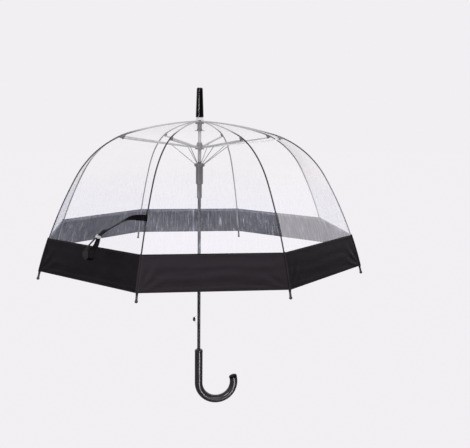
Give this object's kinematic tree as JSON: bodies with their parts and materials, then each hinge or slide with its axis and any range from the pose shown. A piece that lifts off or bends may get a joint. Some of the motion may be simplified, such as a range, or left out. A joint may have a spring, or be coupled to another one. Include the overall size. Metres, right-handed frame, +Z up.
{
  "type": "dome umbrella",
  "caption": "Stick umbrella with a clear dome canopy, dark fabric hem, curved ribs on a sliding runner and a crook handle.",
  "frame": {"origin": "middle of the straight grip, on the shaft's axis", "axes": "+Z up the shaft from grip to tip, +X the way the crook points, ribs at 22.5 degrees and every 45 degrees on"},
  "size_m": [0.7542, 0.7542, 0.8099],
  "materials": {
    "shaft_steel": "satin black",
    "tip_plastic": "gloss black",
    "clear_plastic": "clear",
    "runner_plastic": "satin black",
    "wire_steel": "bright",
    "grip_plastic": "gloss black",
    "catch_plastic": "satin black",
    "rib_fibreglass": "satin black",
    "fitting_plastic": "satin black",
    "stretcher_steel": "satin",
    "clear_film": "clear film",
    "hem_fabric": "woven black",
    "strap_fabric": "woven black",
    "snap_metal": "polished"
  },
  "bodies": {
    "root": {"shaft": "shaft_steel", "ferrule": "tip_plastic", "top_collar": "clear_plastic", "top_notch": "runner_plastic", "notch_wire": "wire_steel", "handle": "grip_plastic"},
    "runner": {"upper_runner": "runner_plastic", "main_spring": "wire_steel"},
    "sleeve": {"lower_sleeve": "runner_plastic"},
    "catch": {"catch": "catch_plastic"},
    "rib_1": {"rib_1": "rib_fibreglass", "rib_fittings_1": "fitting_plastic"},
    "stretcher_1": {"stretcher_1": "stretcher_steel"},
    "strut_1": {"strut_1": "wire_steel"},
    "panel_1": {"gore_1": "clear_film", "hem_1": "hem_fabric", "tie_strap": "strap_fabric", "strap_snap": "snap_metal"},
    "rib_2": {"rib_2": "rib_fibreglass", "rib_fittings_2": "fitting_plastic"},
    "stretcher_2": {"stretcher_2": "stretcher_steel"},
    "strut_2": {"strut_2": "wire_steel"},
    "panel_2": {"gore_2": "clear_film", "hem_2": "hem_fabric"},
    "rib_3": {"rib_3": "rib_fibreglass", "rib_fittings_3": "fitting_plastic"},
    "stretcher_3": {"stretcher_3": "stretcher_steel"},
    "strut_3": {"strut_3": "wire_steel"},
    "panel_3": {"gore_3": "clear_film", "hem_3": "hem_fabric"},
    "rib_4": {"rib_4": "rib_fibreglass", "rib_fittings_4": "fitting_plastic"},
    "stretcher_4": {"stretcher_4": "stretcher_steel"},
    "strut_4": {"strut_4": "wire_steel"},
    "panel_4": {"gore_4": "clear_film", "hem_4": "hem_fabric"},
    "rib_5": {"rib_5": "rib_fibreglass", "rib_fittings_5": "fitting_plastic"},
    "stretcher_5": {"stretcher_5": "stretcher_steel"},
    "strut_5": {"strut_5": "wire_steel"},
    "panel_5": {"gore_5": "clear_film", "hem_5": "hem_fabric"},
    "rib_6": {"rib_6": "rib_fibreglass", "rib_fittings_6": "fitting_plastic"},
    "stretcher_6": {"stretcher_6": "stretcher_steel"},
    "strut_6": {"strut_6": "wire_steel"},
    "panel_6": {"gore_6": "clear_film", "hem_6": "hem_fabric"},
    "rib_7": {"rib_7": "rib_fibreglass", "rib_fittings_7": "fitting_plastic"},
    "stretcher_7": {"stretcher_7": "stretcher_steel"},
    "strut_7": {"strut_7": "wire_steel"},
    "panel_7": {"gore_7": "clear_film", "hem_7": "hem_fabric"},
    "rib_8": {"rib_8": "rib_fibreglass", "rib_fittings_8": "fitting_plastic"},
    "stretcher_8": {"stretcher_8": "stretcher_steel"},
    "strut_8": {"strut_8": "wire_steel"},
    "panel_8": {"gore_8": "clear_film", "hem_8": "hem_fabric"}
  },
  "joints": [
    {"name": "runner_slide", "type": "slide", "parent": "root", "child": "runner", "axis": [0, 0, -1], "range_m": [0, 0.26792], "stiffness_N_per_m": 60, "springref_m": -0.35},
    {"name": "catch_press", "type": "hinge", "parent": "root", "child": "catch", "pos_m": [0, 0, 0.1], "axis": [0, 1, 0], "range_deg": [0, 6], "stiffness_Nm_per_rad": 0.05, "springref_deg": -17.19},
    {"name": "sleeve_slide", "type": "slide", "parent": "runner", "child": "sleeve", "axis": [0, 0, 1], "range_m": [0, 0.0241], "deforming": ["main_spring"]},
    {"name": "rib_hinge_1", "type": "hinge", "parent": "root", "child": "rib_1", "pos_m": [-0.00739, -0.00306, 0.628], "axis": [0.3827, -0.9239, 0], "range_deg": [0, 47.01]},
    {"name": "stretcher_hinge_1", "type": "hinge", "parent": "rib_1", "child": "stretcher_1", "pos_m": [-0.18487, -0.07658, 0.58854], "axis": [-0.3827, 0.9239, 0], "range_deg": [0, 98.38]},
    {"name": "strut_hinge_1", "type": "hinge", "parent": "stretcher_1", "child": "strut_1", "pos_m": [-0.07122, -0.0295, 0.57334], "axis": [0.3827, -0.9239, 0], "range_deg": [0, 23.05]},
    {"name": "gore_fold_1", "type": "hinge", "parent": "rib_1", "child": "panel_1", "pos_m": [-0.00612, -0.00612, 0.628], "axis": [0.6561, 0.6561, -0.3728], "range_deg": [0, 35.12], "deforming": ["gore_1", "hem_1", "tie_strap", "strap_snap"]},
    {"name": "rib_hinge_2", "type": "hinge", "parent": "root", "child": "rib_2", "pos_m": [-0.00306, -0.00739, 0.628], "axis": [0.9239, -0.3827, 0], "range_deg": [0, 47.01]},
    {"name": "stretcher_hinge_2", "type": "hinge", "parent": "rib_2", "child": "stretcher_2", "pos_m": [-0.07658, -0.18487, 0.58854], "axis": [-0.9239, 0.3827, 0], "range_deg": [0, 98.38]},
    {"name": "strut_hinge_2", "type": "hinge", "parent": "stretcher_2", "child": "strut_2", "pos_m": [-0.0295, -0.07122, 0.57334], "axis": [0.9239, -0.3827, 0], "range_deg": [0, 23.05]},
    {"name": "gore_fold_2", "type": "hinge", "parent": "rib_2", "child": "panel_2", "pos_m": [0, -0.00866, 0.628], "axis": [0, 0.9279, -0.3728], "range_deg": [0, 35.12], "deforming": ["gore_2", "hem_2"]},
    {"name": "rib_hinge_3", "type": "hinge", "parent": "root", "child": "rib_3", "pos_m": [0.00306, -0.00739, 0.628], "axis": [0.9239, 0.3827, 0], "range_deg": [0, 47.01]},
    {"name": "stretcher_hinge_3", "type": "hinge", "parent": "rib_3", "child": "stretcher_3", "pos_m": [0.07658, -0.18487, 0.58854], "axis": [-0.9239, -0.3827, 0], "range_deg": [0, 98.38]},
    {"name": "strut_hinge_3", "type": "hinge", "parent": "stretcher_3", "child": "strut_3", "pos_m": [0.0295, -0.07122, 0.57334], "axis": [0.9239, 0.3827, 0], "range_deg": [0, 23.05]},
    {"name": "gore_fold_3", "type": "hinge", "parent": "rib_3", "child": "panel_3", "pos_m": [0.00612, -0.00612, 0.628], "axis": [-0.6561, 0.6561, -0.3728], "range_deg": [0, 35.12], "deforming": ["gore_3", "hem_3"]},
    {"name": "rib_hinge_4", "type": "hinge", "parent": "root", "child": "rib_4", "pos_m": [0.00739, -0.00306, 0.628], "axis": [0.3827, 0.9239, 0], "range_deg": [0, 47.01]},
    {"name": "stretcher_hinge_4", "type": "hinge", "parent": "rib_4", "child": "stretcher_4", "pos_m": [0.18487, -0.07658, 0.58854], "axis": [-0.3827, -0.9239, 0], "range_deg": [0, 98.38]},
    {"name": "strut_hinge_4", "type": "hinge", "parent": "stretcher_4", "child": "strut_4", "pos_m": [0.07122, -0.0295, 0.57334], "axis": [0.3827, 0.9239, 0], "range_deg": [0, 23.05]},
    {"name": "gore_fold_4", "type": "hinge", "parent": "rib_4", "child": "panel_4", "pos_m": [0.00866, 0, 0.628], "axis": [-0.9279, 0, -0.3728], "range_deg": [0, 35.12], "deforming": ["gore_4", "hem_4"]},
    {"name": "rib_hinge_5", "type": "hinge", "parent": "root", "child": "rib_5", "pos_m": [0.00739, 0.00306, 0.628], "axis": [-0.3827, 0.9239, 0], "range_deg": [0, 47.01]},
    {"name": "stretcher_hinge_5", "type": "hinge", "parent": "rib_5", "child": "stretcher_5", "pos_m": [0.18487, 0.07658, 0.58854], "axis": [0.3827, -0.9239, 0], "range_deg": [0, 98.38]},
    {"name": "strut_hinge_5", "type": "hinge", "parent": "stretcher_5", "child": "strut_5", "pos_m": [0.07122, 0.0295, 0.57334], "axis": [-0.3827, 0.9239, 0], "range_deg": [0, 23.05]},
    {"name": "gore_fold_5", "type": "hinge", "parent": "rib_5", "child": "panel_5", "pos_m": [0.00612, 0.00612, 0.628], "axis": [-0.6561, -0.6561, -0.3728], "range_deg": [0, 35.12], "deforming": ["gore_5", "hem_5"]},
    {"name": "rib_hinge_6", "type": "hinge", "parent": "root", "child": "rib_6", "pos_m": [0.00306, 0.00739, 0.628], "axis": [-0.9239, 0.3827, 0], "range_deg": [0, 47.01]},
    {"name": "stretcher_hinge_6", "type": "hinge", "parent": "rib_6", "child": "stretcher_6", "pos_m": [0.07658, 0.18487, 0.58854], "axis": [0.9239, -0.3827, 0], "range_deg": [0, 98.38]},
    {"name": "strut_hinge_6", "type": "hinge", "parent": "stretcher_6", "child": "strut_6", "pos_m": [0.0295, 0.07122, 0.57334], "axis": [-0.9239, 0.3827, 0], "range_deg": [0, 23.05]},
    {"name": "gore_fold_6", "type": "hinge", "parent": "rib_6", "child": "panel_6", "pos_m": [0, 0.00866, 0.628], "axis": [0, -0.9279, -0.3728], "range_deg": [0, 35.12], "deforming": ["gore_6", "hem_6"]},
    {"name": "rib_hinge_7", "type": "hinge", "parent": "root", "child": "rib_7", "pos_m": [-0.00306, 0.00739, 0.628], "axis": [-0.9239, -0.3827, 0], "range_deg": [0, 47.01]},
    {"name": "stretcher_hinge_7", "type": "hinge", "parent": "rib_7", "child": "stretcher_7", "pos_m": [-0.07658, 0.18487, 0.58854], "axis": [0.9239, 0.3827, 0], "range_deg": [0, 98.38]},
    {"name": "strut_hinge_7", "type": "hinge", "parent": "stretcher_7", "child": "strut_7", "pos_m": [-0.0295, 0.07122, 0.57334], "axis": [-0.9239, -0.3827, 0], "range_deg": [0, 23.05]},
    {"name": "gore_fold_7", "type": "hinge", "parent": "rib_7", "child": "panel_7", "pos_m": [-0.00612, 0.00612, 0.628], "axis": [0.6561, -0.6561, -0.3728], "range_deg": [0, 35.12], "deforming": ["gore_7", "hem_7"]},
    {"name": "rib_hinge_8", "type": "hinge", "parent": "root", "child": "rib_8", "pos_m": [-0.00739, 0.00306, 0.628], "axis": [-0.3827, -0.9239, 0], "range_deg": [0, 47.01]},
    {"name": "stretcher_hinge_8", "type": "hinge", "parent": "rib_8", "child": "stretcher_8", "pos_m": [-0.18487, 0.07658, 0.58854], "axis": [0.3827, 0.9239, 0], "range_deg": [0, 98.38]},
    {"name": "strut_hinge_8", "type": "hinge", "parent": "stretcher_8", "child": "strut_8", "pos_m": [-0.07122, 0.0295, 0.57334], "axis": [-0.3827, -0.9239, 0], "range_deg": [0, 23.05]},
    {"name": "gore_fold_8", "type": "hinge", "parent": "rib_8", "child": "panel_8", "pos_m": [-0.00866, 0, 0.628], "axis": [0.9279, 0, -0.3728], "range_deg": [0, 35.12], "deforming": ["gore_8", "hem_8"]}
  ],
  "couplings": [
    {"joint": "sleeve_slide", "follows": "runner_slide", "ratio": 0.089634},
    {"joint": "rib_hinge_1", "follows": "runner_slide", "rad_per_m": 3.0617},
    {"joint": "stretcher_hinge_1", "follows": "runner_slide", "rad_per_m": 6.4079},
    {"joint": "strut_hinge_1", "follows": "runner_slide", "rad_per_m": 1.5006},
    {"joint": "gore_fold_1", "follows": "runner_slide", "rad_per_m": 2.2871},
    {"joint": "rib_hinge_2", "follows": "runner_slide", "rad_per_m": 3.0617},
    {"joint": "stretcher_hinge_2", "follows": "runner_slide", "rad_per_m": 6.4079},
    {"joint": "strut_hinge_2", "follows": "runner_slide", "rad_per_m": 1.5006},
    {"joint": "gore_fold_2", "follows": "runner_slide", "rad_per_m": 2.2871},
    {"joint": "rib_hinge_3", "follows": "runner_slide", "rad_per_m": 3.0617},
    {"joint": "stretcher_hinge_3", "follows": "runner_slide", "rad_per_m": 6.4079},
    {"joint": "strut_hinge_3", "follows": "runner_slide", "rad_per_m": 1.5006},
    {"joint": "gore_fold_3", "follows": "runner_slide", "rad_per_m": 2.2871},
    {"joint": "rib_hinge_4", "follows": "runner_slide", "rad_per_m": 3.0617},
    {"joint": "stretcher_hinge_4", "follows": "runner_slide", "rad_per_m": 6.4079},
    {"joint": "strut_hinge_4", "follows": "runner_slide", "rad_per_m": 1.5006},
    {"joint": "gore_fold_4", "follows": "runner_slide", "rad_per_m": 2.2871},
    {"joint": "rib_hinge_5", "follows": "runner_slide", "rad_per_m": 3.0617},
    {"joint": "stretcher_hinge_5", "follows": "runner_slide", "rad_per_m": 6.4079},
    {"joint": "strut_hinge_5", "follows": "runner_slide", "rad_per_m": 1.5006},
    {"joint": "gore_fold_5", "follows": "runner_slide", "rad_per_m": 2.2871},
    {"joint": "rib_hinge_6", "follows": "runner_slide", "rad_per_m": 3.0617},
    {"joint": "stretcher_hinge_6", "follows": "runner_slide", "rad_per_m": 6.4079},
    {"joint": "strut_hinge_6", "follows": "runner_slide", "rad_per_m": 1.5006},
    {"joint": "gore_fold_6", "follows": "runner_slide", "rad_per_m": 2.2871},
    {"joint": "rib_hinge_7", "follows": "runner_slide", "rad_per_m": 3.0617},
    {"joint": "stretcher_hinge_7", "follows": "runner_slide", "rad_per_m": 6.4079},
    {"joint": "strut_hinge_7", "follows": "runner_slide", "rad_per_m": 1.5006},
    {"joint": "gore_fold_7", "follows": "runner_slide", "rad_per_m": 2.2871},
    {"joint": "rib_hinge_8", "follows": "runner_slide", "rad_per_m": 3.0617},
    {"joint": "stretcher_hinge_8", "follows": "runner_slide", "rad_per_m": 6.4079},
    {"joint": "strut_hinge_8", "follows": "runner_slide", "rad_per_m": 1.5006},
    {"joint": "gore_fold_8", "follows": "runner_slide", "rad_per_m": 2.2871}
  ]
}
